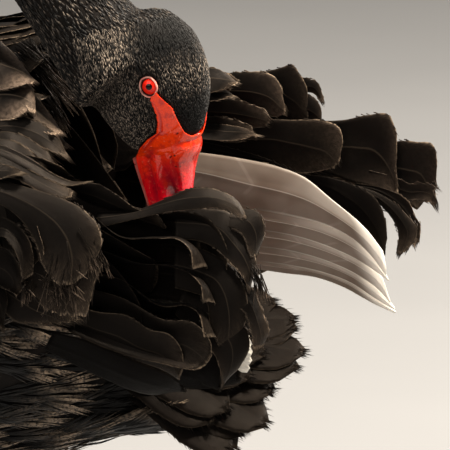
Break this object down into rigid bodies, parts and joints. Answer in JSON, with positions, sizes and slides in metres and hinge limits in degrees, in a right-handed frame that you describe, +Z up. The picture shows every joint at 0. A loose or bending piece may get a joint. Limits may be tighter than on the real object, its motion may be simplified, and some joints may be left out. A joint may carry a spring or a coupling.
{
  "type": "black swan model, standing and preening",
  "caption": "Life-size still model of a black swan standing and preening, neck curved back over the body and the red bill pushed behind the curled feathers of its left wing.",
  "frame": {"origin": "centre of the model's box, on the floor under it", "axes": "+Z up, the chest faces -X, the bird's left side faces -Y"},
  "size_m": [0.604, 0.271, 0.5559],
  "materials": {
    "plumage": "matte",
    "covert_feathers": "satin",
    "white_feathers": "satin",
    "bill": "gloss",
    "nail": "gloss",
    "eye": "gloss",
    "leg_skin": "satin",
    "claw_horn": "satin"
  },
  "bodies": {
    "root": {"torso": "plumage", "neck_base": "plumage", "neck_lower": "plumage", "neck_upper": "plumage", "neck_top": "plumage", "head": "plumage", "bill_upper": "bill", "bill_nail": "nail", "bill_lower": "bill", "eye_right": "eye", "eye_left": "eye", "mantle": "plumage", "wing_left": "covert_feathers", "wing_right": "covert_feathers", "flight_left": "white_feathers", "flight_right": "white_feathers", "tail": "covert_feathers", "thigh_left": "plumage", "shank_left": "leg_skin", "foot_left": "leg_skin", "thigh_right": "plumage", "shank_right": "leg_skin", "foot_right": "leg_skin", "claw_left_1": "claw_horn", "claw_left_2": "claw_horn", "claw_left_3": "claw_horn", "claw_right_1": "claw_horn", "claw_right_2": "claw_horn", "claw_right_3": "claw_horn"}
  },
  "joints": []
}
